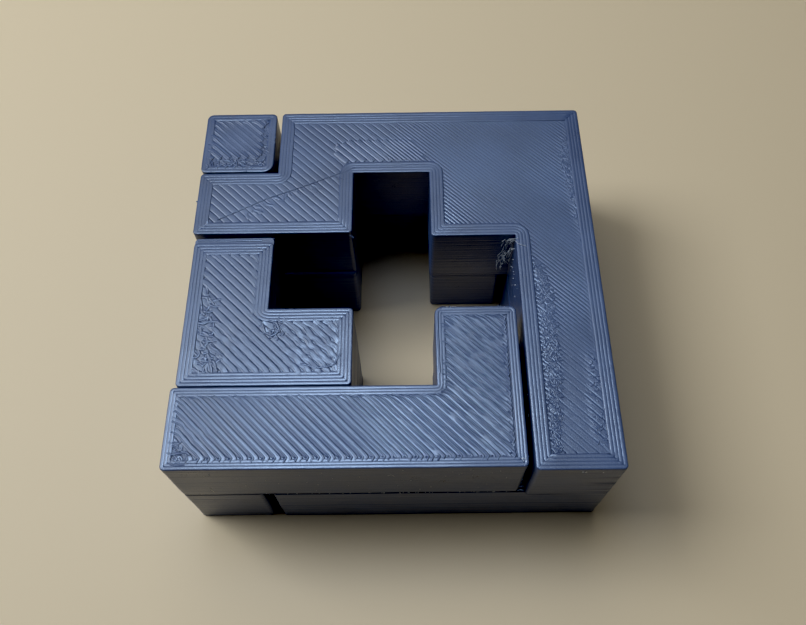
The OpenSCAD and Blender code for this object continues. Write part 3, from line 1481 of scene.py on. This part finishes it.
def frame_debris(piece: FramePiece) -> Debris:
    """The crumbs on the bar's front wall, along its lower edge and at its front right corner."""
    draw = random.Random(78)
    top = piece.place.levels[3]
    front = piece.place.relief / piece.place.cell - 0.001
    crumbs = [(draw.uniform(0.15, 3.85), front, top - draw.uniform(0.8, 8.5)) for _ in range(34)]
    crumbs += [(draw.uniform(1.0, 3.9), front, top - 9.6 - draw.uniform(0, 0.3)) for _ in range(36)]
    crumbs += [(3.98 - draw.uniform(0.03, 0.09), draw.uniform(0.04, 0.16), top - 0.02) for _ in range(12)]
    crumbs += [(draw.uniform(3.05, 3.9), 1.965 + draw.gauss(0, 0.004), top - 0.06) for _ in range(16)]
    strings = [
        [(0.42, front, top - 7.2), (0.43, front, top - 8.8)],
        [(2.46, front, top - 2.8), (2.5, front, top - 2.5), (2.54, front, top - 3.3)],
    ]
    return Debris("frame_crumbs", piece.body, piece.place, 78, strings, crumbs)


# ---------------------------------------------------------------- stage


@dataclass(frozen=True)
class Workshop:
    """The trees and finishes that every piece shares."""

    lines: LaidLines
    specks: Specks
    slate: bpy.types.Material
    whitened: bpy.types.Material


@dataclass(frozen=True)
class SoftLight:
    """A soft square lamp that looks at the puzzle.

    Attributes:
        name: Name of the lamp.
        place: Where it hangs, in metres.
        size: Side of the lamp, in metres.
        power: Its power in watts.
        colour: Its colour.
        gloss_only: True for a lamp that shows only in the sheen.
    """

    name: str
    place: tuple[float, float, float]
    size: float
    power: float
    colour: tuple[float, float, float]
    gloss_only: bool = False

    def hang(self, target: Vector) -> None:
        """Adds the lamp to the scene, aimed at the target."""
        lamp = bpy.data.lights.new(self.name, "AREA")
        lamp.shape = "SQUARE"
        lamp.size = self.size
        lamp.energy = self.power
        lamp.color = self.colour
        holder = bpy.data.objects.new(self.name, lamp)
        holder.location = self.place
        holder.visible_diffuse = not self.gloss_only
        holder.rotation_euler = (target - Vector(self.place)).to_track_quat("-Z", "Y").to_euler()
        bpy.context.scene.collection.objects.link(holder)


@dataclass(frozen=True)
class Studio:
    """The plain floor, the soft lamps and the camera.

    Attributes:
        floor_size: Side of the floor, in metres.
        camera_place: Where the camera stands, in metres.
        camera_look: The direction that it looks in.
        camera_up: The direction that is up in its view.
        lens_mm: Focal length.
        sensor_mm: Width of the sensor.
        black_level: Brightness that shows as black.
        floor_colour: Colour of the floor.
        floor_roughness: Its roughness.
        sky_colour: Colour of the light from all round.
        sky_strength: Its strength.
    """

    floor_size: float = 3.0
    camera_place: tuple[float, float, float] = (0.00144, -0.04882, 0.10111)
    camera_look: tuple[float, float, float] = (-0.00495, 0.46822, -0.88360)
    camera_up: tuple[float, float, float] = (0.01214, 0.88357, 0.46813)
    lens_mm: float = 34.99
    sensor_mm: float = 36.0
    black_level: float = 0.0075
    floor_colour: tuple[float, float, float] = (0.64, 0.49, 0.31)
    floor_roughness: float = 0.7
    sky_colour: tuple[float, float, float] = (0.82, 0.9, 1.0)
    sky_strength: float = 0.03
    lights: tuple[SoftLight, ...] = (
        SoftLight("left_window", (-0.3120, 0.0780, 0.393), 0.24, 1.95, (0.86, 0.98, 1.11)),
        SoftLight("back_window", (-0.0723, 0.1986, 0.4632), 0.4, 0.8, (0.97, 1.03, 0.98)),
        SoftLight("gloss_card", (-0.055, 0.105, 0.480), 0.15, 1.8, (0.66, 0.92, 1.3), gloss_only=True),
    )

    def build(self) -> None:
        """Adds everything around the puzzle."""
        low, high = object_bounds()
        target = Vector((0.0, 0.0, (low[2] + high[2]) / 2))
        for light in self.lights:
            light.hang(target)
        self._floor()
        self._sky()
        self._camera()

    def _floor(self) -> None:
        """A plain pale floor under the puzzle."""
        half = self.floor_size / 2
        mesh = bpy.data.meshes.new("floor")
        corners = [(-half, -half, 0), (half, -half, 0), (half, half, 0), (-half, half, 0)]
        mesh.from_pydata(corners, [], [(0, 1, 2, 3)])
        material = bpy.data.materials.new("pale_floor")
        material.use_nodes = True
        shader = material.node_tree.nodes["Principled BSDF"]
        shader.inputs["Base Color"].default_value = (*self.floor_colour, 1.0)
        shader.inputs["Roughness"].default_value = self.floor_roughness
        mesh.materials.append(material)
        floor = bpy.data.objects.new("floor", mesh)
        bpy.context.scene.collection.objects.link(floor)
        floor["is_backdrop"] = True

    def _sky(self) -> None:
        """A dim even light from all round, and how the light shows as colour."""
        world = bpy.data.worlds.new("studio")
        world.use_nodes = True
        sky = world.node_tree.nodes["Background"]
        sky.inputs["Color"].default_value = (*self.sky_colour, 1.0)
        sky.inputs["Strength"].default_value = self.sky_strength
        bpy.context.scene.world = world
        view = bpy.context.scene.view_settings
        view.view_transform = "Standard"
        view.use_curve_mapping = True
        view.curve_mapping.black_level = (self.black_level,) * 3
        view.curve_mapping.update()

    def _camera(self) -> None:
        """The camera, looking down at the puzzle from the front."""
        data = bpy.data.cameras.new("camera")
        data.lens = self.lens_mm
        data.sensor_width = self.sensor_mm
        data.clip_start = 0.005
        camera = bpy.data.objects.new("camera", data)
        look, up = Vector(self.camera_look).normalized(), Vector(self.camera_up).normalized()
        right = look.cross(up).normalized()
        turn = Matrix((right, right.cross(look), -look)).transposed()
        camera.matrix_world = Matrix.Translation(self.camera_place) @ turn.to_4x4()
        bpy.context.scene.collection.objects.link(camera)
        bpy.context.scene.camera = camera


def main() -> None:
    """Builds the studio and the puzzle, piece by piece."""
    logging.basicConfig(level=logging.INFO, format="%(name)s: %(message)s")
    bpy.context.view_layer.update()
    Studio().build()
    tools = Workshop(LaidLines(), Specks(), SLATE.make(), WHITENED.make())
    bar, hook, key = FramePiece(), HookPiece(), KeyPiece()
    for piece in (bar, hook, key, hook_debris(hook), frame_debris(bar)):
        piece.build(tools)


if __name__ == "__main__":
    main()
